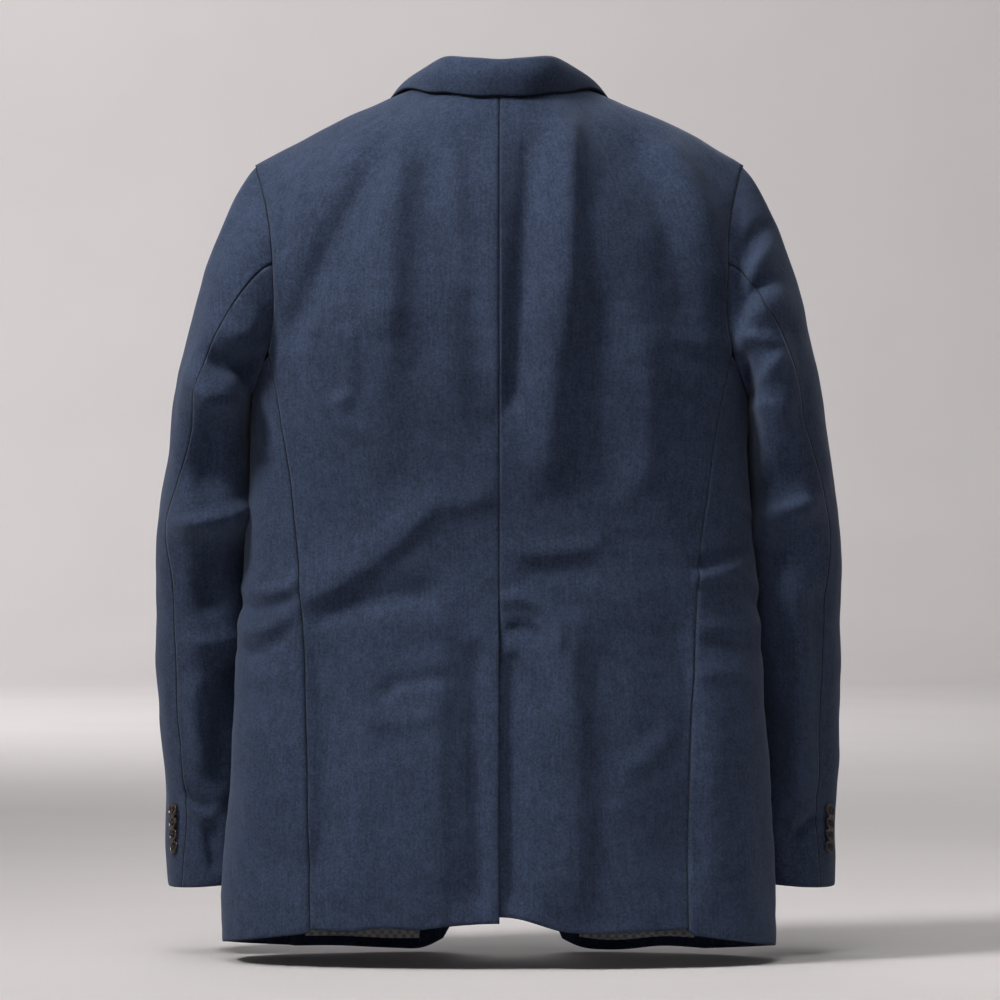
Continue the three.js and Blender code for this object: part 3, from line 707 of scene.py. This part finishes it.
sheets = {  # flat cut in metres: width, length, the cut's area, and how it is held
    "back_left": (0.225, 0.765, 0.144, "hung"),
    "back_right": (0.26, 0.765, 0.15, "hung"),
    "side_left": (0.205, 0.56, 0.094, "hung"),
    "side_right": (0.205, 0.56, 0.094, "hung"),
    "front_left": (0.255, 0.80, 0.145, "hung"),
    "front_right": (0.255, 0.80, 0.14, "hung"),
    "lapel_left": (0.15, 0.35, 0.0165, "folded"),
    "lapel_right": (0.15, 0.35, 0.0165, "folded"),
    "collar": (0.47, 0.1, 0.0295, "folded"),
    "upper_sleeve_left": (0.24, 0.67, 0.11, "hung"),
    "upper_sleeve_right": (0.24, 0.67, 0.11, "hung"),
    "under_sleeve_left": (0.21, 0.6, 0.078, "hung"),
    "under_sleeve_right": (0.21, 0.6, 0.078, "hung"),
    "lining_front_left": (0.115, 0.155, 0.0165, "hung"),
    "lining_front_right": (0.115, 0.155, 0.0165, "hung"),
}
bodyRims = []  # the edges of the backs, sides and fronts, in the order of the table above
sewnTo = {"side": 2, "front": 4}  # a side meets the two backs, a front the backs and the sides
armhole = {"across": 0.172, "lowest": -0.275}
lapelGrain = (0.97, 0.22)


def armholeRims():
    points = np.concatenate(bodyRims)
    return points[(np.abs(points[:, 0]) > armhole["across"]) & (points[:, 2] > armhole["lowest"])]


def pullSeams(places, distances, tree):  # draws a panel's edge onto the edge it is sewn to
    edgePlaces = places[distances < seams["onEdge"]]
    pulls = np.zeros_like(edgePlaces)
    for index, place in enumerate(edgePlaces):
        met, _, gap = tree.find(place)
        pulls[index] = (np.array(met) - place) * (gap < seams["pullWithin"])
    ownTree = pointTree(edgePlaces)
    nearest = [ownTree.find(place)[1] for place in places]
    return places + pulls[nearest] * (1 - smooth(distances, 0, seams["pullReach"]))[:, None]


def makeSheet(node):
    kind = node.split("_")[0]
    side = node.split("_")[-1]
    isSleeve = kind in ("upper", "under")
    isLining = kind == "lining"
    bodyTree = pointTree(armholeRims()) if isSleeve else None
    levels = panel["liningLevels"] if isLining else panel["levels"]
    piece = makePanel(node, f"{node}_cloth", levels, bodyTree)
    rims = rimPoints(piece.data)
    places = readPlaces(piece.data)
    distances = distancesTo(pointTree(rims), places)
    if kind in sewnTo:
        sewnTree = pointTree(np.concatenate(bodyRims[:sewnTo[kind]]))
        places = pullSeams(places, distances, sewnTree)
        writePlaces(piece.data, places)
        rims = rimPoints(piece.data)
    if kind in ("back", "side", "front"):
        bodyRims.append(rims)
    if isSleeve:
        across, move = sleeveMove(places, side, distancesTo(bodyTree, places))
    else:
        across, move = torsoAcross(places), torsoMove(places)
    if kind == "lapel":
        across = places[:, 0] * lapelGrain[0] + places[:, 2] * lapelGrain[1]
    if kind == "collar":
        move = rumple(places, rumpleSeeds["collar"], "collar")[:, None] * unitRows(*places.T)
    heart = places.mean(axis=0) if isSleeve else np.zeros(3)
    inward = unitRows(*((heart - places) * [1, 1, 0]).T)
    dip = seams["dip"] * np.exp(-distances / seams["dipReach"])[:, None]
    writePlaces(piece.data, places + move + inward * dip)
    writeCloth(piece.data, across, places[:, 2], np.minimum(distances, seams["farthest"]))
    dress(piece, paleLining if isLining else corduroy, node)


for node in sheets:
    makeSheet(node)
print("cloth panels made")


# Buttons: a turned disc with a raised rim, four holes and thread through them
button = {
    "radius": 0.86,  # from here to the sink, times the radius of the CAD button
    "rim": 0.17,
    "step": 0.09,
    "bevel": 0.1,
    "hole": 0.11475,
    "holeReach": 0.28,
    "threadReach": 0.2,
    "strand": 0.045,
    "sink": 0.124,
    "thickness": 0.96,  # and these two times its thickness
    "dish": 0.3,
    "smoothAngle": 40,
}


def buttonFrame(node):  # centre of its back, its axis pointing off the cloth, radius and thickness
    places = nodePlaces(node)
    middle = places.mean(axis=0)
    axis = np.linalg.eigh(np.cov((places - middle).T))[1][:, 0]
    outwards = np.array([middle[0], middle[1], 0]) if "cuff" in node else np.array([0, -1.0, 0])
    if axis @ outwards < 0:
        axis = -axis
    heights = (places - middle) @ axis
    spread = np.linalg.norm((places - middle) - np.outer(heights, axis), axis=1)
    return middle + axis * heights.min(), axis, spread.max(), heights.max() - heights.min()


def makeDisc(name, radius, thickness):
    bpy.ops.object.select_all(action="DESELECT")
    bpy.ops.mesh.primitive_cylinder_add(
        vertices=40, radius=radius * button["radius"], depth=thickness * button["thickness"])
    piece = bpy.context.object
    piece.name = name
    bpy.ops.object.mode_set(mode="EDIT")
    bpy.ops.mesh.select_all(action="DESELECT")
    bpy.ops.mesh.select_mode(type="FACE")
    build = bmesh.from_edit_mesh(piece.data)
    for face in build.faces:
        face.select = face.normal.z > 0.9  # the top
    build.select_flush_mode()
    bmesh.update_edit_mesh(piece.data)
    bpy.ops.mesh.inset(thickness=radius * button["rim"])
    bpy.ops.mesh.inset(thickness=radius * button["step"], depth=-thickness * button["dish"])
    bpy.ops.object.mode_set(mode="OBJECT")
    rounder = piece.modifiers.new("rounded", "BEVEL")
    rounder.width = radius * button["bevel"]
    rounder.segments = 3
    rounder.limit_method = "ANGLE"
    bpy.ops.object.modifier_apply(modifier=rounder.name)
    return piece


def drillHoles(piece, radius, thickness):
    for spot in range(4):
        angle = math.pi / 4 + spot * math.pi / 2
        reach = radius * button["holeReach"]
        bpy.ops.object.select_all(action="DESELECT")
        bpy.ops.mesh.primitive_cylinder_add(
            vertices=12, radius=radius * button["hole"], depth=thickness * 3,
            location=(math.cos(angle) * reach, math.sin(angle) * reach, 0))
        drill = bpy.context.object
        cutter = piece.modifiers.new("hole", "BOOLEAN")
        cutter.object = drill
        cutter.solver = "EXACT"
        selectOnly(piece)
        bpy.ops.object.modifier_apply(modifier=cutter.name)
        bpy.data.objects.remove(drill)


def makeThread(name, radius, thickness):  # four rings of thread, two through each pair of holes
    pieces = []
    reach = radius * button["threadReach"]
    level = thickness * (1 - button["dish"]) - radius * button["sink"]
    for row in (-1, 1):
        for strand in (-1, 1):
            bpy.ops.object.select_all(action="DESELECT")
            bpy.ops.mesh.primitive_torus_add(
                major_radius=reach, minor_radius=radius * button["strand"],
                major_segments=20, minor_segments=6,
                location=(0, row * reach + strand * radius * button["strand"], level),
                rotation=(math.pi / 2, 0, 0))
            pieces.append(bpy.context.object)
    selectOnly(*pieces)
    bpy.ops.object.join()
    bpy.ops.object.transform_apply(location=True, rotation=True, scale=True)
    thread = bpy.context.object
    thread.name = name
    return thread


def makeButton(node):  # the disc's middle lies on the back of the CAD button
    back, axis, radius, thickness = buttonFrame(node)
    turn = Vector((0, 0, 1)).rotation_difference(Vector(axis)).to_matrix().to_4x4()
    place = Matrix.Translation(Vector(back)) @ turn
    piece = makeDisc(f"{node}_horn", radius, thickness)
    drillHoles(piece, radius, thickness)
    piece.data.transform(place)
    piece.data.materials.append(darkHorn)
    piece.data.shade_smooth()
    bpy.ops.object.shade_smooth_by_angle(angle=math.radians(button["smoothAngle"]))
    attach(piece, "root")
    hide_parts(node)
    thread = makeThread(f"{node}_thread", radius, thickness)
    thread.data.transform(place)
    thread.data.materials.append(navyThread)
    thread.data.shade_smooth()
    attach(thread, "root")


for node in sorted(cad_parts):
    if "button" in node:
        makeButton(node)
print("buttons made")


# Studio: a pale round sweep, soft lamps round and above it, and the camera straight behind
studio = {
    "floorLevel": -0.77,
    "innerReach": 0.001,
    "sweepReach": 7.6,
    "sweepBend": 1.4,
    "sweepHeight": 6.0,
    "bendSteps": 12,
    "spokes": 96,
    "cameraDistance": 5.0,
    "cameraHeight": -0.358,
    "cameraSide": -0.0005,
    "frameWidth": 0.895,
    "sensor": 36.0,
    "worldColour": (0.96, 0.97, 1.0, 1),
    "worldStrength": 0.08,
}
paper = {
    "dark": (0.6, 0.575, 0.575, 1),
    "light": (0.618, 0.59225, 0.59225, 1),
    "range": (0.3, 0.7),
    "grain": 3.0,
    "roughness": 0.9,
}
warm = (1.0, 0.985, 0.965)
cool = (0.95, 0.97, 1.0)
rosy = (1.0, 0.985, 0.985)
lamps = {  # place, aim, size, power, colour, spread in degrees
    "key": ((2.3, 1.45, 2.15), (0, 0, 0.22), 0.7, 15.5, warm, 58),
    "fill": ((0.6, 4.6, 0.8), (0, 0, -0.4), 2.0, 10, cool, 180),
    "backdrop": ((2.2, -4.7, 2.9), (0.6, -9.0, 0.9), 2.6, 205, rosy, 180),
    "farFloor": ((0.4, -3.3, 3.0), (0.3, -3.8, -0.8), 3.0, 62, rosy, 180),
    "nearFloor": ((0.2, 1.6, 2.2), (-0.1, 0.55, -0.775), 0.6, 0.75, rosy, 34),
    "top": ((0.3, 1.0, 3.2), (0, 0, -0.8), 2.4, 62, (1.0, 0.99, 0.985), 180),
}


def paperMaterial():
    material, wire, shader = newMaterial("palePaper")
    plug(addNoise(objectPlaces(wire), paper["grain"]).toned(paper), shader, "Base Color")
    setInputs(shader, {"Roughness": paper["roughness"]})
    return material


def makeSweep():  # a floor that turns up all round
    reach, bend, steps = studio["sweepReach"], studio["sweepBend"], studio["bendSteps"]
    profile = [(studio["innerReach"], 0.0), (reach, 0.0)]
    for step in range(1, steps + 1):
        angle = step / steps * math.pi / 2
        profile.append((reach + math.sin(angle) * bend, (1 - math.cos(angle)) * bend))
    profile.append((reach + bend, studio["sweepHeight"]))
    spokes = studio["spokes"]
    vertices = []
    for out, rise in profile:
        for spoke in range(spokes):
            angle = spoke / spokes * 2 * math.pi
            vertices.append((out * math.cos(angle), out * math.sin(angle), studio["floorLevel"] + rise))
    faces = []
    for row in range(len(profile) - 1):
        for spoke in range(spokes):
            beside = (spoke + 1) % spokes
            faces.append((row * spokes + spoke, (row + 1) * spokes + spoke,
                          (row + 1) * spokes + beside, row * spokes + beside))
    mesh = bpy.data.meshes.new("sweep")
    mesh.from_pydata(vertices, [], faces)
    mesh.shade_smooth()
    mesh.materials.append(paperMaterial())
    sweep = bpy.data.objects.new("sweep", mesh)
    bpy.context.scene.collection.objects.link(sweep)


def addLamp(name):
    place, aim, size, power, colour, spread = lamps[name]
    data = bpy.data.lights.new(name, "AREA")
    data.spread = math.radians(spread)
    data.shape = "SQUARE"
    data.size = size
    data.energy = power
    data.color = colour
    lamp = bpy.data.objects.new(name, data)
    lamp.location = place
    lamp.rotation_euler = (Vector(aim) - Vector(place)).to_track_quat("-Z", "Y").to_euler()
    bpy.context.scene.collection.objects.link(lamp)


makeSweep()
for name in lamps:
    addLamp(name)

world = bpy.data.worlds.new("softRoom")
world.use_nodes = True
setInputs(world.node_tree.nodes["Background"], {
    "Color": studio["worldColour"], "Strength": studio["worldStrength"]})
bpy.context.scene.world = world
bpy.context.scene.view_settings.view_transform = "Standard"

cameraData = bpy.data.cameras.new("camera")
cameraData.sensor_width = studio["sensor"]
cameraData.lens = studio["sensor"] * studio["cameraDistance"] / studio["frameWidth"]
camera = bpy.data.objects.new("camera", cameraData)
camera.location = (studio["cameraSide"], studio["cameraDistance"], studio["cameraHeight"])
camera.rotation_euler = (math.pi / 2, 0, math.pi)
bpy.context.scene.collection.objects.link(camera)
bpy.context.scene.camera = camera
print("studio made")
